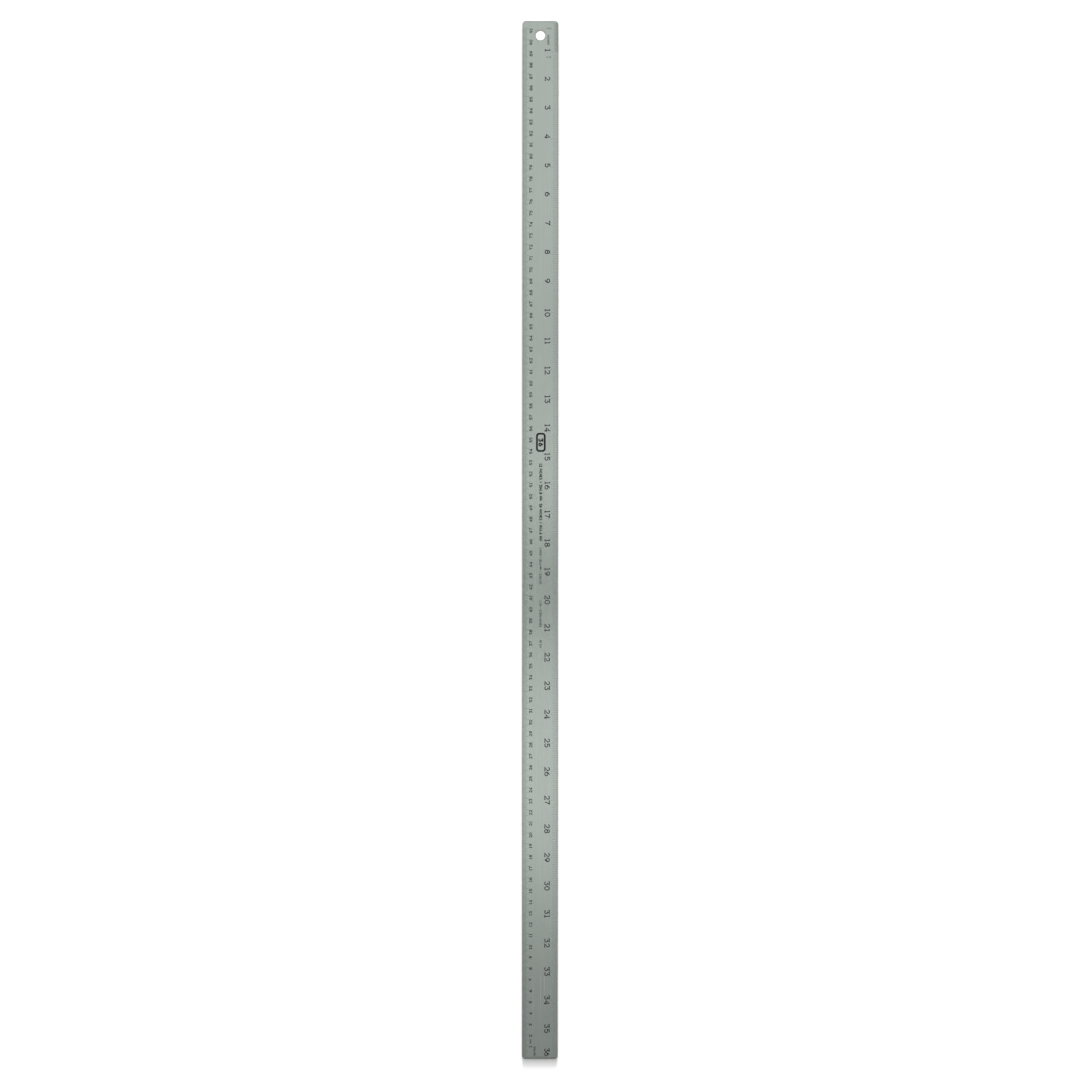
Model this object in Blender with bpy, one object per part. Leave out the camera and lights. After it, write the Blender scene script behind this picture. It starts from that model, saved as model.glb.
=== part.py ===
"""A 36 inch flexible steel ruler with a cork back, as an assembly of its three bonded layers.

The ruler lies flat with its printed face up. X runs along it, with the hanging hole and the zero of the inch
scale at -X. The inch edge is at +Y and the metric edge at -Y. The origin is below the middle, on the surface
that the cork rests on. Metres throughout.
"""

import math

import bpy
from mathutils import Vector
from mathutils.geometry import delaunay_2d_cdt

INCH = 0.0254
MILLIMETRE = 0.001

# Blade
SCALE_INCHES = 36
SCALE_CENTIMETRES = 91
END_MARGIN = 2.0 * MILLIMETRE  # plain steel beyond the first and the last inch line
BLADE_LENGTH = SCALE_INCHES * INCH + 2 * END_MARGIN
BLADE_WIDTH = 1.25 * INCH
BLADE_THICKNESS = 0.6 * MILLIMETRE
CORNER_RADIUS = INCH / 8

# Hanging hole, punched through all three layers
HOLE_RADIUS = 4.1 * MILLIMETRE
HOLE_FROM_END = 0.5 * INCH

# Etched graduations
ETCH_DEPTH = 0.05 * MILLIMETRE
EDGE_LAND = 0.15 * MILLIMETRE  # plain steel between a line's outer end and the edge
INCH_DIVISIONS = 8
INCH_LINE_WIDTH = 0.2 * MILLIMETRE
INCH_LINE_LENGTHS = {8: 6.5 * MILLIMETRE, 4: 5.3 * MILLIMETRE, 2: 5.3 * MILLIMETRE, 1: 5.0 * MILLIMETRE}
METRIC_LINE_WIDTH = 0.2 * MILLIMETRE
CENTIMETRE_LINE_LENGTH = 6.1 * MILLIMETRE
HALF_CENTIMETRE_LINE_LENGTH = 5.3 * MILLIMETRE

# Backing
CORK_THICKNESS = 0.8 * MILLIMETRE
CORK_INSET = INCH / 8  # the steel overhangs the cork all round, so that ink can't creep under the edge
CORK_CORNER_RADIUS = 1.5 * MILLIMETRE
ADHESIVE_THICKNESS = 0.1 * MILLIMETRE
LAYER_GAP = 0.02 * MILLIMETRE

# Heights, from the surface that the ruler rests on
ADHESIVE_BOTTOM = CORK_THICKNESS + LAYER_GAP
BLADE_BOTTOM = ADHESIVE_BOTTOM + ADHESIVE_THICKNESS + LAYER_GAP
BLADE_TOP = BLADE_BOTTOM + BLADE_THICKNESS

# Smoothness of round stretches
CORNER_STEPS = 10
HOLE_STEPS = 48
MERGE_DISTANCE = 1e-7

STEEL = {"color": (0.42, 0.44, 0.42, 1.0), "metallic": 1.0, "roughness": 0.35}
ADHESIVE = {"color": (0.80, 0.76, 0.62, 1.0), "metallic": 0.0, "roughness": 0.5}
CORK = {"color": (0.50, 0.30, 0.15, 1.0), "metallic": 0.0, "roughness": 0.9}


def clear_scene():
    for obj in list(bpy.data.objects):
        bpy.data.objects.remove(obj)


def material(name, color, metallic, roughness):
    made = bpy.data.materials.new(name)
    made.use_nodes = True
    shader = made.node_tree.nodes["Principled BSDF"]
    shader.inputs["Base Color"].default_value = color
    shader.inputs["Metallic"].default_value = metallic
    shader.inputs["Roughness"].default_value = roughness
    return made


def arc(centre_x, centre_y, radius, start, sweep, steps):
    """Points of an arc, from the angle start through sweep, both ends included."""
    angles = [start + sweep * step / steps for step in range(steps + 1)]
    return [Vector((centre_x + radius * math.cos(a), centre_y + radius * math.sin(a))) for a in angles]


def rounded_rectangle(length, width, radius):
    """The outline of a strip centred on the origin, anticlockwise."""
    x = length / 2 - radius
    y = width / 2 - radius
    centres = [(x, y), (-x, y), (-x, -y), (x, -y)]
    outline = []
    for corner, (cx, cy) in enumerate(centres):
        outline += arc(cx, cy, radius, corner * math.pi / 2, math.pi / 2, CORNER_STEPS)
    return outline


def hanging_hole():
    centre_x = HOLE_FROM_END - BLADE_LENGTH / 2
    return arc(centre_x, 0.0, HOLE_RADIUS, 0.0, math.tau, HOLE_STEPS)[:-1]


def half_width_at(x):
    """Distance from the middle line to the blade's long edge, which falls away at the round corners."""
    into_corner = abs(x) - (BLADE_LENGTH / 2 - CORNER_RADIUS)
    if into_corner <= 0:
        return BLADE_WIDTH / 2
    return BLADE_WIDTH / 2 - CORNER_RADIUS + math.sqrt(CORNER_RADIUS**2 - into_corner**2)


def line_mark(x, line_width, line_length, side):
    """One graduation's outline, anticlockwise; side is +1 on the inch edge and -1 on the metric edge."""
    half = line_width / 2
    outer = half_width_at(abs(x) + half) - EDGE_LAND
    inner = BLADE_WIDTH / 2 - line_length
    low, high = sorted((side * inner, side * outer))
    return [Vector(p) for p in ((x - half, low), (x + half, low), (x + half, high), (x - half, high))]


def inch_marks():
    """One line for each eighth of an inch, from the zero at -X; the rounder the fraction, the longer its line."""
    zero = END_MARGIN - BLADE_LENGTH / 2
    marks = []
    for index in range(SCALE_INCHES * INCH_DIVISIONS + 1):
        step = math.gcd(index, INCH_DIVISIONS) or INCH_DIVISIONS
        x = zero + index * INCH / INCH_DIVISIONS
        marks.append(line_mark(x, INCH_LINE_WIDTH, INCH_LINE_LENGTHS[step], 1))
    return marks


def metric_marks():
    """One line for each half centimetre, from the zero at +X."""
    zero = BLADE_LENGTH / 2 - END_MARGIN
    marks = []
    for index in range(SCALE_CENTIMETRES * 2 + 1):
        length = HALF_CENTIMETRE_LINE_LENGTH if index % 2 else CENTIMETRE_LINE_LENGTH
        marks.append(line_mark(zero - index * 5 * MILLIMETRE, METRIC_LINE_WIDTH, length, -1))
    return marks


def triangulate(outline, hole, marks):
    """(points, triangles, etched): the strip without its hole, and for each triangle whether a mark covers it."""
    loops = [outline, hole] + marks
    points = []
    faces = []
    for loop in loops:
        faces.append(list(range(len(points), len(points) + len(loop))))
        points += loop
    result = delaunay_2d_cdt(points, [], faces, 1, MERGE_DISTANCE, True)
    flat_points, triangles, sources = result[0], result[2], result[5]
    kept = [(tri, max(source) > 1) for tri, source in zip(triangles, sources) if 1 not in source]
    return flat_points, [tri for tri, _ in kept], [etched for _, etched in kept]


class LayeredMesh:
    """Vertices of a flat plan, raised to a height and shared by the faces that meet there."""

    def __init__(self):
        self.points = []
        self.faces = []
        self.index = {}

    def at(self, point, height):
        key = (round(point[0] / MERGE_DISTANCE), round(point[1] / MERGE_DISTANCE), height)
        if key not in self.index:
            self.index[key] = len(self.points)
            self.points.append((point[0], point[1], height))
        return self.index[key]

    def cap(self, flat_points, triangle, height, facing_up):
        corners = [self.at(flat_points[i], height) for i in triangle]
        self.faces.append(corners if facing_up else corners[::-1])

    def wall(self, start, end, top, bottom):
        """A wall under the edge start-end of a face that lies to its left."""
        self.faces.append([self.at(start, top), self.at(start, bottom), self.at(end, bottom), self.at(end, top)])


def strip(name, outline, hole, marks, bottom, top):
    """A closed strip between two heights, with its hole, and with the marks sunk into its upper face."""
    points, triangles, etched = triangulate(outline, hole, marks)
    mesh = LayeredMesh()
    heights = [top - ETCH_DEPTH if sunk else top for sunk in etched]
    edge_height = {}
    for triangle, height in zip(triangles, heights):
        mesh.cap(points, triangle, height, True)
        for a, b in zip(triangle, triangle[1:] + triangle[:1]):
            edge_height[a, b] = height
    for (a, b), height in edge_height.items():
        below = edge_height.get((b, a), bottom)
        if below < height:
            mesh.wall(points[a], points[b], height, below)
    plain_points, plain_triangles, _ = triangulate(outline, hole, [])
    for triangle in plain_triangles:
        mesh.cap(plain_points, triangle, bottom, False)
    data = bpy.data.meshes.new(name)
    data.from_pydata(mesh.points, [], mesh.faces)
    made = bpy.data.objects.new(name, data)
    bpy.context.collection.objects.link(made)
    return made


def backing_outline():
    return rounded_rectangle(BLADE_LENGTH - 2 * CORK_INSET, BLADE_WIDTH - 2 * CORK_INSET, CORK_CORNER_RADIUS)


def steel_blade():
    outline = rounded_rectangle(BLADE_LENGTH, BLADE_WIDTH, CORNER_RADIUS)
    marks = inch_marks() + metric_marks()
    blade = strip("steel_blade", outline, hanging_hole(), marks, BLADE_BOTTOM, BLADE_TOP)
    blade.data.materials.append(material("stainless_steel", **STEEL))


def adhesive_film():
    top = ADHESIVE_BOTTOM + ADHESIVE_THICKNESS
    film = strip("adhesive_film", backing_outline(), hanging_hole(), [], ADHESIVE_BOTTOM, top)
    film.data.materials.append(material("adhesive", **ADHESIVE))


def cork_backing():
    cork = strip("cork_backing", backing_outline(), hanging_hole(), [], 0.0, CORK_THICKNESS)
    cork.data.materials.append(material("cork", **CORK))


clear_scene()
steel_blade()
adhesive_film()
cork_backing()
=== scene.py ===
import math
import random

import bpy
from mathutils import Matrix, Vector
from mathutils.geometry import delaunay_2d_cdt


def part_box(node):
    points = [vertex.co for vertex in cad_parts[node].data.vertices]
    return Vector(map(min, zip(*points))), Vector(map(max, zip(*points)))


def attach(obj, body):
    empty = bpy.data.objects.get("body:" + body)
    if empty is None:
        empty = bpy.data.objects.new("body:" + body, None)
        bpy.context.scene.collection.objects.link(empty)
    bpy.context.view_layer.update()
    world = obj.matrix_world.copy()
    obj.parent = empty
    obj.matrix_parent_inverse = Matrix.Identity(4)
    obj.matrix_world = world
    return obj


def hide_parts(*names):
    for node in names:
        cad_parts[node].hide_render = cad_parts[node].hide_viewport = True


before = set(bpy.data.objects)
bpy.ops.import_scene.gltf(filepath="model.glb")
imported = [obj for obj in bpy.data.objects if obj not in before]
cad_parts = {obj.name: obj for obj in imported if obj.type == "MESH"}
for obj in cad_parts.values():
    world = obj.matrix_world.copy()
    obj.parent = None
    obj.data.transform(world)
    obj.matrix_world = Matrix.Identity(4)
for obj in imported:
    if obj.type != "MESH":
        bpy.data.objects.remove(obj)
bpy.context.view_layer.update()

# The plan of the ruler is drawn in millimetres, with X along it and Y towards the inch edge. The solids are
# scaled to metres as they are made.
MILLIMETRE = 0.001
INCH = 25.4

blade_low, blade_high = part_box("steel_blade")
cork_low, cork_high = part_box("cork_backing")
LENGTH = (blade_high.x - blade_low.x) / MILLIMETRE
WIDTH = (blade_high.y - blade_low.y) / MILLIMETRE
TOP = blade_high.z / MILLIMETRE
BOTTOM = blade_low.z / MILLIMETRE
CORK_LENGTH = (cork_high.x - cork_low.x) / MILLIMETRE
CORK_WIDTH = (cork_high.y - cork_low.y) / MILLIMETRE
CORK_TOP = cork_high.z / MILLIMETRE

# Blank
CORNER_RADIUS = INCH / 8
HOLE_RADIUS = 4.1
HOLE_X = INCH / 2 - LENGTH / 2
EDGE_ROUND = 0.12
HOLE_ROUND = 0.2
CORNER_STEPS = 12
HOLE_STEPS = 64
ROUND_STEPS = 3
SMOOTH_BELOW = math.radians(40)  # faces that meet at less than this are shaded as one surface

# Scales: the inch scale runs from -X and the metric scale from +X
SCALE_INCHES = 36
SCALE_CENTIMETRES = 91
INCH_ZERO = -SCALE_INCHES * INCH / 2
METRIC_ZERO = SCALE_INCHES * INCH / 2
MARK_START = 0.15  # plain steel between a line's outer end and the rounded edge
ETCH_DEPTH = 0.03
INK_BELOW = 0.008  # the ink lies this far below the steel
INK_FLOAT = 0.002  # and this far above the bottom of the etching

# Lines, their lengths by the number of smallest divisions that they mark
INCH_DIVISIONS = 16
INCH_LINE = 0.13
INCH_LINE_LENGTHS = {16: 6.5, 8: 5.4, 4: 5.3, 2: 5.0, 1: 4.5}
FINE_DIVISIONS = 64  # in the first inch
FINE_LINE = 0.1
FINE_LINE_LENGTHS = {2: 3.7, 1: 2.9}
METRIC_DIVISIONS = 10
METRIC_LINE = 0.17
METRIC_LINE_LENGTHS = {10: 6.1, 5: 5.3, 1: 3.9}

# Numerals: the base line's distance from the middle of the ruler, and the gap between a digit and its line
INCH_DIGITS = dict(height=4.6, stroke=0.74)
INCH_DIGIT_BASE = 4.05
INCH_DIGIT_GAP = 0.3
INCH_DIGIT_STRETCH = 1.14
LAST_NUMBER_GAP = 0.8
LAST_NUMBER_STRETCH = 0.96
METRIC_DIGITS = dict(height=2.5, stroke=0.53, stretch=1.13, gap=0.17)
METRIC_DIGIT_BASE = 7.0
METRIC_DIGIT_GAP = 0.2

# Lettering: where each line of text starts, on its base line
SMALL_LETTERS = dict(height=1.75, stroke=0.36, stretch=1.05, gap=0.22)
INCHES_START = (INCH_ZERO + 10.4, 6.1)
METRIC_START = (METRIC_ZERO - 1.0, -3.7)
MILLIMETRES_START = (METRIC_ZERO - 12.1, -7.4)
DIVISION_LETTERS = dict(height=1.65, stroke=0.2)
DIVISION_LABELS = ("1/64", "1/16")  # of the first and of the second inch
DIVISION_PAST_LINE = 5.2  # from the inch line to the label's base line, which runs across the ruler
DIVISION_START = 5.1
BOLD_LETTERS = dict(height=2.25, stroke=0.64, stretch=0.92, gap=0.2)
LIGHT_LETTERS = dict(height=1.9, stroke=0.36, stretch=0.9, gap=0.15)
CONVERSION_BASE = -0.6
CONVERSIONS = [
    (-69.6, "12 INCHES = 304.8 MM  36 INCHES = 914.4 MM", BOLD_LETTERS),
    (4.8, "1 INCH = 25.4 MM = 2.54 CM", LIGHT_LETTERS),
    (51.5, "1 CM = 0.394 INCHES", LIGHT_LETTERS),
    (86.7, "91 CM", LIGHT_LETTERS),
]

# Badge: a frame, measured along the middle of its line, round the ruler's length in inches
BADGE_CENTRE = (-88.3, 0.6)
BADGE_LENGTH = 15.2
BADGE_WIDTH = 6.9
BADGE_RADIUS = 2.0
BADGE_LINE = 1.6
BADGE_CORNER_STEPS = 5
BADGE_DIGITS = dict(height=3.8, stroke=1.1, gap=0.35)

# Directions of reading: the inch scale's, the metric scale's and across the ruler
ALONG = (1, 0)
BACK = (-1, 0)
ACROSS = (0, 1)

# ---------------------------------------------------------------- plan shapes


def arc(centre_x, centre_y, radius_x, radius_y, start, end, steps=8):
    """Points along an elliptical arc, from start to end in degrees, both included."""
    points = []
    for step in range(steps + 1):
        angle = math.radians(start + (end - start) * step / steps)
        points.append((centre_x + radius_x * math.cos(angle), centre_y + radius_y * math.sin(angle)))
    return points


def ring(centre_x, centre_y, radius_x, radius_y, steps=16):
    """A closed ellipse: its first point is repeated at the end."""
    points = arc(centre_x, centre_y, radius_x, radius_y, 0, 360, steps)
    return points[:-1] + points[:1]


def bend(start, control, end, steps=6):
    """A quadratic curve."""
    points = []
    for step in range(steps + 1):
        t = step / steps
        weights = ((1 - t) ** 2, 2 * t * (1 - t), t * t)
        points.append(tuple(sum(w * p[i] for w, p in zip(weights, (start, control, end))) for i in (0, 1)))
    return points


def half_turned(strokes, width):
    return [[(width - x, 1 - y) for x, y in stroke] for stroke in strokes]


SIX = [
    ring(0.36, 0.33, 0.30, 0.27),
    arc(0.66, 0.36, 0.60, 0.58, 180, 105, 7),
]

# Each character is (width, strokes), in units of its height. The strokes are centre lines.
GLYPHS = {
    "0": (0.72, [ring(0.36, 0.5, 0.30, 0.45, 20)]),
    "1": (0.52, [[(0.08, 0.94), (0.26, 0.94), (0.26, 0.05)], [(0.07, 0.05), (0.45, 0.05)]]),
    "2": (0.72, [arc(0.35, 0.68, 0.27, 0.27, 170, -30, 9) + [(0.08, 0.05), (0.66, 0.05), (0.66, 0.20)]]),
    "3": (0.72, [
        [(0.08, 0.78), (0.08, 0.94), (0.62, 0.94), (0.33, 0.60)]
        + arc(0.35, 0.325, 0.29, 0.275, 88, -155, 10),
    ]),
    "4": (0.74, [[(0.52, 0.05), (0.52, 0.95), (0.06, 0.30), (0.70, 0.30)], [(0.36, 0.05), (0.68, 0.05)]]),
    "5": (0.72, [
        [(0.62, 0.94), (0.15, 0.94), (0.12, 0.56)] + arc(0.35, 0.335, 0.30, 0.285, 130, -155, 11),
    ]),
    "6": (0.72, SIX),
    "7": (0.70, [
        [(0.06, 0.78), (0.06, 0.94), (0.64, 0.94)] + bend((0.64, 0.93), (0.34, 0.56), (0.30, 0.05)),
    ]),
    "8": (0.72, [ring(0.36, 0.735, 0.235, 0.21, 14), ring(0.36, 0.29, 0.30, 0.24)]),
    "9": (0.72, half_turned(SIX, 0.72)),
    "C": (0.68, [arc(0.38, 0.5, 0.31, 0.45, 50, 310, 12)]),
    "E": (0.60, [[(0.54, 0.95), (0.08, 0.95), (0.08, 0.05), (0.54, 0.05)], [(0.08, 0.5), (0.46, 0.5)]]),
    "H": (0.70, [[(0.08, 0.05), (0.08, 0.95)], [(0.62, 0.05), (0.62, 0.95)], [(0.08, 0.5), (0.62, 0.5)]]),
    "I": (0.22, [[(0.11, 0.05), (0.11, 0.95)]]),
    "M": (0.84, [[(0.08, 0.05), (0.08, 0.95), (0.42, 0.35), (0.76, 0.95), (0.76, 0.05)]]),
    "N": (0.72, [[(0.08, 0.05), (0.08, 0.95), (0.64, 0.05), (0.64, 0.95)]]),
    "R": (0.66, [
        [(0.08, 0.05), (0.08, 0.95)] + arc(0.34, 0.72, 0.24, 0.23, 90, -90, 7) + [(0.08, 0.49)],
        [(0.30, 0.49), (0.60, 0.05)],
    ]),
    "S": (0.64, [arc(0.32, 0.72, 0.24, 0.23, 35, 270, 8) + arc(0.32, 0.27, 0.25, 0.22, 90, -145, 8)[1:]]),
    "T": (0.66, [[(0.04, 0.95), (0.62, 0.95)], [(0.33, 0.95), (0.33, 0.05)]]),
    "=": (0.62, [[(0.06, 0.27), (0.56, 0.27)], [(0.06, 0.66), (0.56, 0.66)]]),
    "/": (0.46, [[(0.04, 0.0), (0.42, 1.0)]]),
    ".": (0.28, [[(0.14, 0.0), (0.14, 0.23)]]),
    " ": (0.34, []),
}


SAME_POINT = 1e-6
LONGEST_MITRE = 2.0  # the furthest that a sharp corner of a stroke reaches, in half thicknesses


def anticlockwise(corners):
    """The corners of a convex shape in order round its middle."""
    middle = sum(corners, Vector((0.0, 0.0))) / len(corners)
    return sorted(corners, key=lambda p: math.atan2(p.y - middle.y, p.x - middle.x))


def stroke_quads(points, thickness):
    """The quads of a stroke of even thickness along points; a repeated end point closes it."""
    line = [Vector(p) for p in points]
    closed = (line[0] - line[-1]).length < SAME_POINT
    if closed:
        line = line[:-1]
    count = len(line)
    sides = []
    for i, point in enumerate(line):
        before = (point - line[i - 1]).normalized() if closed or i > 0 else None
        after = (line[(i + 1) % count] - point).normalized() if closed or i < count - 1 else None
        along = ((before or after) + (after or before)).normalized()
        normal = Vector((-along.y, along.x))
        reach = 1.0
        if before and after:
            reach = 1 / max(1 / LONGEST_MITRE, normal.dot(Vector((-after.y, after.x))))
        offset = normal * thickness / 2 * reach
        sides.append((point + offset, point - offset))
    pairs = zip(sides, sides[1:] + sides[:1] if closed else sides[1:])
    return [anticlockwise([a[1], b[1], b[0], a[0]]) for a, b in pairs]


def text_width(text, stretch, gap):
    return sum(GLYPHS[c][0] * stretch + gap for c in text) - gap


def text_marks(text, origin, reading, height, stroke, stretch=1.0, gap=0.12, align="left"):
    """The quads of a line of text, read in the direction of reading, with its top a quarter turn from there.

    origin is where its base line starts, ends or has its middle, as align says. stretch widens the
    characters, and gap is the space between them, in heights.
    """
    reading = Vector(reading)
    upward = Vector((-reading.y, reading.x))
    shift = {"left": 0.0, "middle": 0.5, "right": 1.0}[align]
    pen = -shift * text_width(text, stretch, gap)
    quads = []
    for character in text:
        width, strokes = GLYPHS[character]
        for stroke_points in strokes:
            placed = [(pen * height + x * stretch * height, y * height) for x, y in stroke_points]
            quads += stroke_quads(placed, stroke)
        pen += width * stretch + gap
    return [[Vector(origin) + reading * p.x + upward * p.y for p in quad] for quad in quads]


def box_quad(low_x, low_y, high_x, high_y):
    return [Vector(p) for p in ((low_x, low_y), (high_x, low_y), (high_x, high_y), (low_x, high_y))]


# ---------------------------------------------------------------- marks


def half_width_at(x):
    """Distance from the middle line to the long edge, which falls away at the round corners."""
    into_corner = abs(x) - (LENGTH / 2 - CORNER_RADIUS)
    if into_corner <= 0:
        return WIDTH / 2
    return WIDTH / 2 - CORNER_RADIUS + math.sqrt(CORNER_RADIUS**2 - into_corner**2)


def graduation(x, line_width, line_length, side):
    """A line in from the long edge on one side: 1 for the inch edge, -1 for the metric edge."""
    half = line_width / 2
    outer = half_width_at(abs(x) + half) - MARK_START
    low, high = sorted((side * (WIDTH / 2 - line_length), side * outer))
    return box_quad(x - half, low, x + half, high)


def inch_graduations():
    """Sixteenths all along, and sixty-fourths in the first inch."""
    marks = []
    for index in range(SCALE_INCHES * INCH_DIVISIONS + 1):
        length = INCH_LINE_LENGTHS[math.gcd(index, INCH_DIVISIONS)]
        marks.append(graduation(INCH_ZERO + index * INCH / INCH_DIVISIONS, INCH_LINE, length, 1))
    for index in range(FINE_DIVISIONS):
        step = math.gcd(index, FINE_DIVISIONS // INCH_DIVISIONS)
        if step in FINE_LINE_LENGTHS:
            x = INCH_ZERO + index * INCH / FINE_DIVISIONS
            marks.append(graduation(x, FINE_LINE, FINE_LINE_LENGTHS[step], 1))
    return marks


def metric_graduations():
    """A line for each millimetre, longer at each half centimetre and longest at each centimetre."""
    marks = []
    for index in range(SCALE_CENTIMETRES * METRIC_DIVISIONS + 1):
        step = max(step for step in METRIC_LINE_LENGTHS if index % step == 0)
        marks.append(graduation(METRIC_ZERO - index, METRIC_LINE, METRIC_LINE_LENGTHS[step], -1))
    return marks


def inch_numerals():
    """The units digit of a two-digit number starts after its line, and every other digit ends before it.

    The last number has no room after its line, so it is condensed and all of it ends before the line.
    """
    marks = []
    style = INCH_DIGITS | {"stretch": INCH_DIGIT_STRETCH}
    for number in range(1, SCALE_INCHES):
        line = INCH_ZERO + number * INCH
        before = (line - INCH_DIGIT_GAP, INCH_DIGIT_BASE)
        after = (line + INCH_DIGIT_GAP, INCH_DIGIT_BASE)
        first, *second = str(number)
        marks += text_marks(first, before, ALONG, align="right", **style)
        for digit in second:
            marks += text_marks(digit, after, ALONG, **style)
    end = (INCH_ZERO + SCALE_INCHES * INCH - LAST_NUMBER_GAP, INCH_DIGIT_BASE)
    style = INCH_DIGITS | {"stretch": LAST_NUMBER_STRETCH}
    return marks + text_marks(str(SCALE_INCHES), end, ALONG, align="right", **style)


def metric_numerals():
    """Each number ends just before its line."""
    marks = []
    for number in range(1, SCALE_CENTIMETRES + 1):
        end = (METRIC_ZERO - number * METRIC_DIVISIONS + METRIC_DIGIT_GAP, -METRIC_DIGIT_BASE)
        marks += text_marks(str(number), end, BACK, align="right", **METRIC_DIGITS)
    return marks


def legends():
    """The names of the two scales, the value of their smallest divisions, and a line of conversions."""
    marks = text_marks("INCHES", INCHES_START, ALONG, **SMALL_LETTERS)
    marks += text_marks("METRIC", METRIC_START, BACK, **SMALL_LETTERS)
    marks += text_marks("MM", MILLIMETRES_START, BACK, **SMALL_LETTERS)
    for inch, label in enumerate(DIVISION_LABELS):
        start = (INCH_ZERO + inch * INCH + DIVISION_PAST_LINE, DIVISION_START)
        marks += text_marks(label, start, ACROSS, **DIVISION_LETTERS)
    for start, text, letters in CONVERSIONS:
        marks += text_marks(text, (start, CONVERSION_BASE), ALONG, **letters)
    return marks


def rounded_rectangle(length, width, radius, steps=CORNER_STEPS, centre=(0.0, 0.0)):
    """The outline of a strip, anticlockwise."""
    x = length / 2 - radius
    y = width / 2 - radius
    outline = []
    for corner, (cx, cy) in enumerate(((x, y), (-x, y), (-x, -y), (x, -y))):
        start = corner * 90
        outline += arc(centre[0] + cx, centre[1] + cy, radius, radius, start, start + 90, steps)
    return [Vector(p) for p in outline]


def length_badge():
    """A plain frame round the ruler's length in inches."""
    outline = rounded_rectangle(BADGE_LENGTH, BADGE_WIDTH, BADGE_RADIUS, BADGE_CORNER_STEPS, BADGE_CENTRE)
    marks = stroke_quads(outline + outline[:1], BADGE_LINE)
    base = (BADGE_CENTRE[0], BADGE_CENTRE[1] - BADGE_DIGITS["height"] / 2)
    return marks + text_marks(str(SCALE_INCHES), base, ALONG, align="middle", **BADGE_DIGITS)


# ---------------------------------------------------------------- blade and ink

# Triangulation
MERGE_DISTANCE = 1e-4
INSIDE_ONLY = 1  # the kind that leaves out what lies outside the outline
OUTLINE = 0  # place of the outline among the loops
HOLE = 1
PLAIN = -1  # owner of a triangle that no mark covers


def circle(centre_x, radius):
    return [Vector(p) for p in arc(centre_x, 0.0, radius, radius, 0, 360, HOLE_STEPS)[:-1]]


class Builder:
    """Vertices of a plan raised to a height, shared by the faces that meet there."""

    def __init__(self):
        self.points = []
        self.faces = []
        self.index = {}

    def at(self, point, height):
        key = (round(point[0], 4), round(point[1], 4), round(height, 5))
        if key not in self.index:
            self.index[key] = len(self.points)
            self.points.append((point[0], point[1], height))
        return self.index[key]

    def face(self, corners):
        if len(set(corners)) == len(corners):
            self.faces.append(corners)

    def cap(self, points, triangle, height, up=True):
        corners = [self.at(points[i], height) for i in triangle]
        self.face(corners if up else corners[::-1])

    def wall(self, start, end, top, bottom):
        """A wall below the edge start-end of a face on its left."""
        self.face([self.at(start, top), self.at(start, bottom), self.at(end, bottom), self.at(end, top)])

    def band(self, upper, upper_height, lower, lower_height):
        """A band between two loops of as many points; upper runs anticlockwise seen from outside."""
        count = len(upper)
        for i in range(count):
            j = (i + 1) % count
            self.face([
                self.at(upper[i], upper_height),
                self.at(lower[i], lower_height),
                self.at(lower[j], lower_height),
                self.at(upper[j], upper_height),
            ])

    def object(self, name):
        mesh = bpy.data.meshes.new(name)
        mesh.from_pydata([tuple(c * MILLIMETRE for c in p) for p in self.points], [], self.faces)
        mesh.update()
        made = bpy.data.objects.new(name, mesh)
        bpy.context.scene.collection.objects.link(made)
        return made


def triangulate(outline, hole, groups, inner_points=()):
    """(points, triangles, owners): an owner is the number of the group of marks on the triangle, or PLAIN."""
    loops = [outline, hole]
    owner_of = [PLAIN, PLAIN]
    for number, group in enumerate(groups):
        loops += group
        owner_of += [number] * len(group)
    points = []
    faces = []
    for loop in loops:
        faces.append(list(range(len(points), len(points) + len(loop))))
        points += loop
    points += inner_points
    result = delaunay_2d_cdt(points, [], faces, INSIDE_ONLY, MERGE_DISTANCE, True)
    flat_points, found, loops_over = result[0], result[2], result[5]
    triangles = []
    owners = []
    for triangle, over in zip(found, loops_over):
        if OUTLINE in over and HOLE not in over:
            marks = [owner_of[loop] for loop in over if loop > HOLE]
            triangles.append(triangle)
            owners.append(marks[0] if marks else PLAIN)
    return flat_points, triangles, owners


def edges_of(triangles, values):
    """The value on the left of each directed edge."""
    found = {}
    for triangle, value in zip(triangles, values):
        for a, b in zip(triangle, triangle[1:] + triangle[:1]):
            found[a, b] = value
    return found


def edge_section(radius):
    """(inset, height) pairs down an edge of the blade that is rounded at the top and at the bottom."""
    rounding = []
    for step in range(ROUND_STEPS + 1):
        angle = math.radians(90 * step / ROUND_STEPS)
        rounding.append((radius * (1 - math.sin(angle)), radius * (1 - math.cos(angle))))
    upper = [(inset, TOP - drop) for inset, drop in rounding]
    lower = [(inset, BOTTOM + drop) for inset, drop in reversed(rounding)]
    return upper + lower


def blade_outline(inset):
    return rounded_rectangle(LENGTH - 2 * inset, WIDTH - 2 * inset, CORNER_RADIUS - inset)


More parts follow.
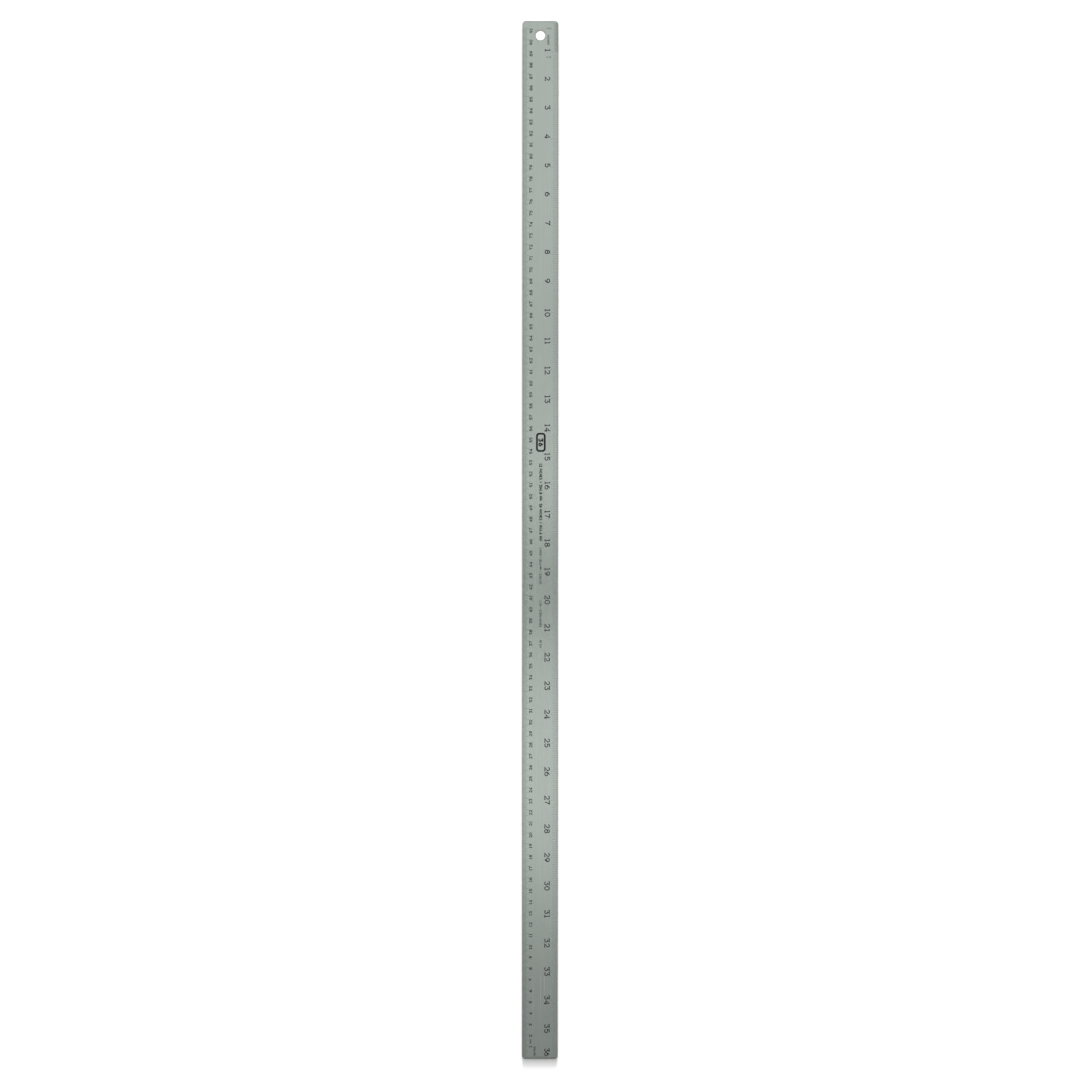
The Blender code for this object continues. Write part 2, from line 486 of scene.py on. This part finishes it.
def build_blade(points, triangles, owners):
    builder = Builder()
    floor = TOP - ETCH_DEPTH
    heights = [TOP if owner == PLAIN else floor for owner in owners]
    for triangle, height in zip(triangles, heights):
        builder.cap(points, triangle, height)
    edges = edges_of(triangles, heights)
    for (a, b), height in edges.items():
        if edges.get((b, a), height) < height:
            builder.wall(points[a], points[b], TOP, floor)
    outer = [(blade_outline(inset), height) for inset, height in edge_section(EDGE_ROUND)]
    inner = [(circle(HOLE_X, HOLE_RADIUS + inset), height) for inset, height in edge_section(HOLE_ROUND)]
    for (upper, upper_height), (lower, lower_height) in zip(outer, outer[1:]):
        builder.band(upper, upper_height, lower, lower_height)
    for (upper, upper_height), (lower, lower_height) in zip(inner, inner[1:]):
        builder.band(upper[::-1], upper_height, lower[::-1], lower_height)
    plain_points, plain_triangles, _ = triangulate(outer[-1][0], inner[-1][0], [])
    for triangle in plain_triangles:
        builder.cap(plain_points, triangle, BOTTOM, up=False)
    return builder.object("blade")


def build_ink(name, number, points, triangles, owners):
    """A thin closed fill in each etched mark of one group."""
    builder = Builder()
    top = TOP - INK_BELOW
    bottom = TOP - ETCH_DEPTH + INK_FLOAT
    own = [triangle for triangle, owner in zip(triangles, owners) if owner == number]
    for triangle in own:
        builder.cap(points, triangle, top)
        builder.cap(points, triangle, bottom, up=False)
    edges = edges_of(own, [1] * len(own))
    for a, b in edges:
        if (b, a) not in edges:
            builder.wall(points[a], points[b], top, bottom)
    return builder.object(name)


MARKS = {
    "inch_graduations": inch_graduations,
    "metric_graduations": metric_graduations,
    "inch_numerals": inch_numerals,
    "metric_numerals": metric_numerals,
    "legends": legends,
    "length_badge": length_badge,
}


def blade_pieces():
    groups = [make() for make in MARKS.values()]
    plan = triangulate(blade_outline(EDGE_ROUND), circle(HOLE_X, HOLE_RADIUS + HOLE_ROUND), groups)
    blade = build_blade(*plan)
    inks = [build_ink(name, number, *plan) for number, name in enumerate(MARKS)]
    return blade, inks


# ---------------------------------------------------------------- cork

CORK_SEED = 7
CORK_CORNER_RADIUS = 1.5
CORK_CORNER_STEPS = 3
CORK_EDGE_SPACING = 1.2
CORK_EDGE_BITE = 0.2  # deepest nick in the cut edge
CORK_SPACING = 1.5  # of the points on the underside
CORK_JITTER = (0.1, 0.9)  # where a point may lie in its square of the grid
CORK_CLEARANCE = 0.6  # from those points to the deepest nick
CORK_DIMPLE = 0.05  # the most that a point is raised, and the most for the few that are pits
CORK_PIT = 0.22
CORK_PIT_SHARE = 0.06


def resampled(outline, spacing):
    """Points about spacing apart along a closed outline, each with its outward direction."""
    found = []
    for a, b in zip(outline, outline[1:] + outline[:1]):
        along = b - a
        count = max(1, round(along.length / spacing))
        outward = Vector((along.y, -along.x)).normalized()
        found += [(a + along * i / count, outward) for i in range(count)]
    return found


def nibbled(points, chance):
    return [point - outward * chance.uniform(0, CORK_EDGE_BITE) for point, outward in points]


def inside_cork(x, y):
    margin = CORK_EDGE_BITE + CORK_CLEARANCE
    clear_of_hole = math.hypot(x - HOLE_X, y) > HOLE_RADIUS + margin
    return abs(x) < CORK_LENGTH / 2 - 2 * margin and abs(y) < CORK_WIDTH / 2 - margin and clear_of_hole


def cork_grid(chance):
    """Points over the underside, one at random in each square of a grid."""
    points = []
    for column in range(int(CORK_LENGTH / CORK_SPACING)):
        for row in range(int(CORK_WIDTH / CORK_SPACING)):
            x = (column + chance.uniform(*CORK_JITTER)) * CORK_SPACING - CORK_LENGTH / 2
            y = (row + chance.uniform(*CORK_JITTER)) * CORK_SPACING - CORK_WIDTH / 2
            if inside_cork(x, y):
                points.append(Vector((x, y)))
    return points


def build_cork():
    """Composition cork: a nibbled cut edge all round, and a pitted underside."""
    chance = random.Random(CORK_SEED)
    outline = rounded_rectangle(CORK_LENGTH, CORK_WIDTH, CORK_CORNER_RADIUS, CORK_CORNER_STEPS)
    edge = resampled(outline, CORK_EDGE_SPACING)
    middle = Vector((HOLE_X, 0.0))
    hole_edge = [(point, (middle - point).normalized()) for point in circle(HOLE_X, HOLE_RADIUS)[::2]]
    heights = [CORK_TOP, CORK_TOP / 2, 0.0]
    rings = [nibbled(edge, chance) for _ in heights]
    hole_rings = [nibbled(hole_edge, chance) for _ in heights]
    builder = Builder()
    for i in range(len(heights) - 1):
        builder.band(rings[i], heights[i], rings[i + 1], heights[i + 1])
        builder.band(hole_rings[i][::-1], heights[i], hole_rings[i + 1][::-1], heights[i + 1])
    top_points, top_triangles, _ = triangulate(rings[0], hole_rings[0], [])
    for triangle in top_triangles:
        builder.cap(top_points, triangle, CORK_TOP)
    points, triangles, _ = triangulate(rings[-1], hole_rings[-1], [], cork_grid(chance))
    border = len(rings[-1]) + len(hole_rings[-1])
    lift = [0.0] * border
    for _ in points[border:]:
        lift.append(chance.uniform(0, CORK_PIT if chance.random() < CORK_PIT_SHARE else CORK_DIMPLE))
    for triangle in triangles:
        builder.face([builder.at(points[i], lift[i]) for i in reversed(triangle)])
    return builder.object("cork")


# ---------------------------------------------------------------- materials

GRAIN_MAP = "grain"
RIM_WEAR = 1.7  # width of the rubbed band along the rim
HOLE_WEAR = 1.2
GRANULE_SCALE = 1050.0  # cork granules in a metre
GRANULE_RAGGED = 0.0007  # how far noise pushes the outline of a granule, in metres

STEEL = (0.463, 0.517, 0.476, 1)
STEEL_BLOTCH = (0.488, 0.545, 0.501, 1)
STEEL_BAND = (0.438, 0.490, 0.451, 1)
STEEL_GRAIN = (0.387, 0.432, 0.397, 1)
STEEL_HAIRLINE = (0.66, 0.69, 0.67, 1)
STEEL_RUBBED = (0.37, 0.385, 0.375, 1)
ENAMEL = (0.005, 0.005, 0.006, 1)
ENAMEL_THIN = (0.05, 0.054, 0.054, 1)
CORK_DARK = (0.33, 0.185, 0.085, 1)
CORK_PALE = (0.60, 0.39, 0.205, 1)
CORK_PATCH = (0.40, 0.24, 0.115, 1)
CORK_BARK = (0.105, 0.05, 0.028, 1)
CORK_FLECK = (0.66, 0.47, 0.27, 1)
CORK_PORE = (0.13, 0.06, 0.03, 1)
CORK_SEAM = (0.14, 0.07, 0.035, 1)
GLUE_THICK = (0.56, 0.50, 0.36, 1)
GLUE_THIN = (0.72, 0.67, 0.52, 1)
TABLE = (0.815, 0.815, 0.815, 1)
TABLE_MOTTLE = (0.83, 0.83, 0.83, 1)

NOISE = (0.3, 0.7)  # nearly all of a noise lies between these levels
STEEL_ROUGHNESS = (0.18, 0.23)
RUBBED_ROUGHNESS = 0.08  # added where the steel is rubbed
ENAMEL_ROUGHNESS = (0.5, 0.65)
CORK_ROUGHNESS = (0.82, 0.96)
GLUE_ROUGHNESS = (0.3, 0.55)
TABLE_ROUGHNESS = (0.85, 0.95)


class Nodes:
    """Nodes of a material or of the world, made and joined by short calls."""

    def __init__(self, tree):
        self.nodes = tree.nodes
        self.links = tree.links

    def give(self, node, settings):
        for name, value in settings.items():
            socket = node.inputs[name]
            if isinstance(value, bpy.types.NodeSocket):
                self.links.new(value, socket)
            else:
                socket.default_value = value

    def node(self, kind, settings, **attributes):
        made = self.nodes.new(kind)
        for name, value in attributes.items():
            setattr(made, name, value)
        self.give(made, settings)
        return made

    def math(self, operation, a, b=0.0):
        return self.node("ShaderNodeMath", {0: a, 1: b}, operation=operation).outputs["Value"]

    def square(self, value):
        return self.math("MULTIPLY", value, value)

    def mix(self, factor, a, b):
        made = self.node("ShaderNodeMix", {0: factor}, data_type="RGBA")
        self.give(made, {6: a, 7: b})
        return made.outputs[2]

    def spread(self, value, from_low, from_high, to_low=0.0, to_high=1.0, **attributes):
        """value from one range to another, held at its ends."""
        source = {"Value": value, "From Min": from_low, "From Max": from_high}
        target = {"To Min": to_low, "To Max": to_high}
        return self.node("ShaderNodeMapRange", source | target, **attributes).outputs["Result"]

    def smooth(self, value, from_low, from_high, to_low=0.0, to_high=1.0):
        return self.spread(value, from_low, from_high, to_low, to_high, interpolation_type="SMOOTHSTEP")

    def ramp(self, value, levels):
        """A grey level that runs smoothly through (value, level) pairs."""
        low = levels[0][0]
        high = levels[-1][0]
        made = self.node("ShaderNodeValToRGB", {"Fac": self.spread(value, low, high)})
        made.color_ramp.interpolation = "EASE"
        stops = made.color_ramp.elements
        while len(stops) < len(levels):
            stops.new(1.0)
        for stop, (at, level) in zip(stops, levels):
            stop.position = (at - low) / (high - low)
            stop.color = (level, level, level, 1)
        return made.outputs["Color"]


class Shader(Nodes):
    """A material with one Principled BSDF, in object coordinates."""

    def __init__(self, name):
        self.material = bpy.data.materials.new(name)
        self.material.use_nodes = True
        super().__init__(self.material.node_tree)
        self.surface = self.nodes["Principled BSDF"]
        self.place = self.node("ShaderNodeTexCoord", {}).outputs["Object"]

    def stretched(self, x, y, z):
        """Scaled coordinates, in which a noise of scale 1 has about so many features in a metre."""
        return self.node("ShaderNodeMapping", {"Vector": self.place, "Scale": (x, y, z)}).outputs["Vector"]

    def noise(self, scale, detail=4.0, place=None, roughness=0.55):
        settings = {"Vector": place or self.place, "Scale": scale, "Detail": detail, "Roughness": roughness}
        return self.node("ShaderNodeTexNoise", settings).outputs["Fac"]

    def cells(self, scale, output="Distance", **attributes):
        settings = {"Vector": self.place, "Scale": scale}
        return self.node("ShaderNodeTexVoronoi", settings, **attributes).outputs[output]

    def bump(self, height, strength, distance, under=None):
        """The normal of a relief of the given height, distance metres deep, laid over the normal under."""
        settings = {"Height": height, "Strength": strength, "Distance": distance}
        if under:
            settings["Normal"] = under
        return self.node("ShaderNodeBump", settings).outputs["Normal"]

    def finish(self, color, roughness, normal, **others):
        settings = {"Base Color": color, "Roughness": roughness, "Normal": normal}
        settings |= {name.replace("_", " "): value for name, value in others.items()}
        self.give(self.surface, settings)
        return self.material


def edge_wear(steel):
    """About 1 along the upper rim of the blade and round its hole, and 0 away from them and underneath."""
    split = steel.node("ShaderNodeSeparateXYZ", {0: steel.place}).outputs
    past_side = steel.math("SUBTRACT", steel.math("ABSOLUTE", split["Y"]), WIDTH / 2 * MILLIMETRE)
    past_end = steel.math("SUBTRACT", steel.math("ABSOLUTE", split["X"]), LENGTH / 2 * MILLIMETRE)
    rim = steel.smooth(steel.math("MAXIMUM", past_side, past_end), -RIM_WEAR * MILLIMETRE, 0.0)
    from_hole = steel.math("SUBTRACT", split["X"], HOLE_X * MILLIMETRE)
    reach = steel.math("SQRT", steel.math("ADD", steel.square(from_hole), steel.square(split["Y"])))
    hole = steel.smooth(reach, (HOLE_RADIUS + HOLE_WEAR) * MILLIMETRE, HOLE_RADIUS * MILLIMETRE, 0.0, 0.6)
    scuffs = steel.spread(steel.noise(1.0, 4.0, steel.stretched(160, 1300, 1300), 0.65), *NOISE, 0.6, 1.4)
    upper = steel.smooth(split["Z"], BOTTOM * MILLIMETRE, TOP * MILLIMETRE)
    return steel.math("MULTIPLY", steel.math("MAXIMUM", rim, hole), steel.math("MULTIPLY", scuffs, upper))


def brushed_stainless():
    """Stainless strip: a fine grain along it, faint blotches, a few long hairlines and a rubbed rim."""
    steel = Shader("brushed_stainless")
    grain = steel.noise(1.0, 5.0, steel.stretched(14, 4200, 4200), 0.7)
    bands = steel.noise(1.0, 3.0, steel.stretched(2.5, 700, 700), 0.6)
    hairs = steel.spread(steel.noise(1.0, 1.0, steel.stretched(9, 2600, 2600)), 0.71, 0.76)
    blotches = steel.spread(steel.noise(26.0, 3.0, steel.stretched(0.6, 1.6, 1.0), 0.55), 0.35, 0.65)
    wear = edge_wear(steel)
    shade = steel.mix(blotches, STEEL, STEEL_BLOTCH)
    shade = steel.mix(steel.spread(bands, *NOISE, 0.0, 0.5), shade, STEEL_BAND)
    shade = steel.mix(steel.spread(grain, *NOISE, 0.0, 0.35), shade, STEEL_GRAIN)
    shade = steel.mix(steel.math("MULTIPLY", hairs, 0.25), shade, STEEL_HAIRLINE)
    shade = steel.mix(steel.math("MULTIPLY", wear, 0.8), shade, STEEL_RUBBED)
    roughness = steel.spread(grain, *NOISE, *STEEL_ROUGHNESS)
    roughness = steel.math("ADD", roughness, steel.math("MULTIPLY", wear, RUBBED_ROUGHNESS))
    across = steel.node("ShaderNodeTangent", {}, direction_type="UV_MAP", uv_map=GRAIN_MAP)
    normal = steel.bump(steel.math("SUBTRACT", grain, hairs), 0.25, 0.00002)
    others = {"Tangent": across.outputs["Tangent"], "Metallic": 1.0, "Anisotropic": 0.95}
    return steel.finish(shade, roughness, normal, **others)


def ink_enamel():
    """Flat black enamel wiped into the etching, thinner and greyer here and there."""
    ink = Shader("ink_enamel")
    wear = ink.noise(900.0, 4.0)
    patches = ink.noise(60.0, 3.0)
    thin = ink.math("MULTIPLY", ink.spread(wear, 0.45, 0.75), ink.spread(patches, 0.4, 0.7, 0.2, 0.8))
    shade = ink.mix(thin, ENAMEL, ENAMEL_THIN)
    roughness = ink.spread(wear, *NOISE, *ENAMEL_ROUGHNESS)
    return ink.finish(shade, roughness, ink.bump(wear, 0.2, 0.00001), Specular_IOR_Level=0.15)


def composition_cork():
    """Pressed granules, ragged and each with its own brown, with some of bark, and fine pores in all."""
    cork = Shader("composition_cork")
    ragged = cork.node("ShaderNodeTexNoise", {"Vector": cork.place, "Scale": 1700.0, "Detail": 3.0})
    push = {0: ragged.outputs["Color"], 1: (GRANULE_RAGGED,) * 3, 2: cork.place}
    cork.place = cork.node("ShaderNodeVectorMath", push, operation="MULTIPLY_ADD").outputs["Vector"]
    granules = cork.node("ShaderNodeSeparateColor", {"Color": cork.cells(GRANULE_SCALE, "Color")}).outputs
    seams = cork.cells(GRANULE_SCALE, feature="DISTANCE_TO_EDGE")
    pores = cork.noise(3000.0, 6.0, roughness=0.7)
    patches = cork.noise(70.0, 3.0)
    shade = cork.mix(granules["Red"], CORK_DARK, CORK_PALE)
    shade = cork.mix(cork.spread(patches, 0.35, 0.65, 0.0, 0.3), shade, CORK_PATCH)
    shade = cork.mix(cork.spread(granules["Green"], 0.93, 0.96, 0.0, 0.75), shade, CORK_BARK)
    shade = cork.mix(cork.spread(pores, 0.35, 0.60, 0.0, 0.25), shade, CORK_FLECK)
    shade = cork.mix(cork.spread(pores, 0.60, 0.70, 0.0, 0.7), shade, CORK_PORE)
    shade = cork.mix(cork.spread(seams, 0.0, 0.09, 0.38, 0.0), shade, CORK_SEAM)
    relief = cork.bump(seams, 0.5, 0.0001, cork.bump(pores, 0.6, 0.00005))
    return cork.finish(shade, cork.spread(pores, *NOISE, *CORK_ROUGHNESS), relief)


def contact_adhesive():
    """A thin yellowish film, uneven where it has been rolled."""
    glue = Shader("contact_adhesive")
    rolled = glue.noise(1.0, 4.0, glue.stretched(90, 500, 500))
    shade = glue.mix(glue.spread(rolled, *NOISE), GLUE_THICK, GLUE_THIN)
    roughness = glue.spread(rolled, *NOISE, *GLUE_ROUGHNESS)
    return glue.finish(shade, roughness, glue.bump(rolled, 0.4, 0.00002), IOR=1.47)


def matt_table():
    table = Shader("matt_table")
    mottle = table.noise(40.0, 4.0)
    shade = table.mix(mottle, TABLE, TABLE_MOTTLE)
    roughness = table.spread(mottle, *NOISE, *TABLE_ROUGHNESS)
    return table.finish(shade, roughness, table.bump(mottle, 0.1, 0.0001))


def add_grain_direction(piece):
    """A map whose U axis runs across the grain on every face, so that highlights spread across it."""
    layer = piece.data.uv_layers.new(name=GRAIN_MAP)
    places = [piece.data.vertices[loop.vertex_index].co for loop in piece.data.loops]
    layer.data.foreach_set("uv", [value for p in places for value in (p.y + p.z, p.x + p.z / 2)])


def coat(piece, material):
    piece.data.materials.clear()
    piece.data.materials.append(material)


# ---------------------------------------------------------------- pieces in the frame


def shade_round(piece):
    piece.data.shade_smooth()
    piece.data.set_sharp_from_angle(angle=SMOOTH_BELOW)


def place_blade():
    blade, inks = blade_pieces()
    add_grain_direction(blade)
    shade_round(blade)
    coat(blade, brushed_stainless())
    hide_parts("steel_blade")
    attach(blade, "root")
    enamel = ink_enamel()
    for ink in inks:
        coat(ink, enamel)
        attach(ink, "root")


def place_cork():
    cork = build_cork()
    coat(cork, composition_cork())
    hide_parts("cork_backing")
    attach(cork, "root")


def place_adhesive():
    coat(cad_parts["adhesive_film"], contact_adhesive())


# ---------------------------------------------------------------- stage, light and camera

FLOOR_SIDE = 40.0
FLOOR_DROP = 0.00001

CAMERA_LENS = 85.0
CAMERA_DISTANCE = 2.255
CAMERA_TILT = math.radians(1.2)
CAMERA_ROLL = math.radians(0.035)
CAMERA_TARGET = Vector((-0.0020, -0.0001, blade_high.z))

# Light from the dome, as (height, level) and, overhead, as (X, level) of a direction
SIDE_LIGHT = [(0.0, 1.0), (0.12, 1.0), (0.35, 0.80)]
OVERHEAD_LIGHT = [
    (-0.20, 0.87),
    (-0.10, 0.90),
    (-0.05, 0.68),
    (0.003, 1.11),
    (0.042, 0.16),
    (0.070, 1.06),
    (0.143, 0.99),
    (0.181, 0.40),
    (0.210, 0.52),
    (0.227, 0.35),
]
OVERHEAD_FROM = 0.55
OVERHEAD_FULL = 0.80

# Lamps: each key's elevation and width in degrees, and its strength
KEYS = {"low_key": (9, 12, 7.0), "high_key": (18, 22, 2.35)}
PIN_HEIGHT = 1.2
PIN_CONE = math.radians(1)
PIN_POWER = 60.0
PIN_SIZE = 0.01


def place_floor():
    half = FLOOR_SIDE / 2
    corners = ((-half, -half), (half, -half), (half, half), (-half, half))
    mesh = bpy.data.meshes.new("floor")
    mesh.from_pydata([(x, y, -FLOOR_DROP) for x, y in corners], [], [(0, 1, 2, 3)])
    floor = bpy.data.objects.new("floor", mesh)
    bpy.context.scene.collection.objects.link(floor)
    coat(floor, matt_table())
    return floor


def place_dome():
    """A pale studio dome: white at the horizon, with broad soft boxes overhead that end towards +X."""
    world = bpy.data.worlds.new("dome")
    bpy.context.scene.world = world
    world.use_nodes = True
    dome = Nodes(world.node_tree)
    direction = dome.node("ShaderNodeTexCoord", {}).outputs["Generated"]
    split = dome.node("ShaderNodeSeparateXYZ", {0: direction}).outputs
    side = dome.ramp(split["Z"], SIDE_LIGHT)
    overhead = dome.ramp(split["X"], OVERHEAD_LIGHT)
    share = dome.smooth(split["Z"], OVERHEAD_FROM, OVERHEAD_FULL)
    dome.give(dome.nodes["Background"], {"Color": dome.mix(share, side, overhead)})


def place_lamp(name, kind, location, aim, power, lit):
    """A lamp that lights only the objects in the collection lit."""
    light = bpy.data.lights.new(name, kind)
    light.energy = power
    lamp = bpy.data.objects.new(name, light)
    bpy.context.scene.collection.objects.link(lamp)
    lamp.location = location
    lamp.rotation_euler = (aim - location).to_track_quat("-Z", "Y").to_euler()
    lamp.light_linking.receiver_collection = lit
    lamp.visible_camera = False
    return light


def place_lights(floor):
    """Two low, soft keys from the hole end, and a pin spot straight down the hole.

    The blade keeps the keys from the floor beyond its far end. They light the floor only, so that the steel
    shows nothing but the dome.
    """
    lit = bpy.data.collections.new("floor_light")
    lit.objects.link(floor)
    middle = Vector((0.0, 0.0, 0.0))
    for name, (elevation, width, strength) in KEYS.items():
        height = math.radians(elevation)
        towards = Vector((-math.cos(height), 0.0, math.sin(height)))
        key = place_lamp(name, "SUN", middle + towards, middle, strength, lit)
        key.angle = math.radians(width)
    hole = Vector((HOLE_X * MILLIMETRE, 0.0, 0.0))
    pin = place_lamp("pin_spot", "SPOT", hole + Vector((0.0, 0.0, PIN_HEIGHT)), hole, PIN_POWER, lit)
    pin.spot_size = PIN_CONE
    pin.shadow_soft_size = PIN_SIZE


def place_camera():
    camera = bpy.data.objects.new("camera", bpy.data.cameras.new("camera"))
    bpy.context.scene.collection.objects.link(camera)
    bpy.context.scene.camera = camera
    camera.data.lens = CAMERA_LENS
    back = Vector((-math.sin(CAMERA_TILT), 0.0, math.cos(CAMERA_TILT)))
    level_up = Vector((-math.cos(CAMERA_TILT), 0.0, -math.sin(CAMERA_TILT)))
    level_right = level_up.cross(back)
    right = level_right * math.cos(CAMERA_ROLL) + level_up * math.sin(CAMERA_ROLL)
    up = back.cross(right)
    turned = Matrix((right, up, back)).transposed().to_4x4()
    camera.matrix_world = Matrix.Translation(CAMERA_TARGET + back * CAMERA_DISTANCE) @ turned


place_camera()
place_lights(place_floor())
place_dome()
place_blade()
place_cork()
place_adhesive()
bpy.context.scene.view_settings.view_transform = "Standard"
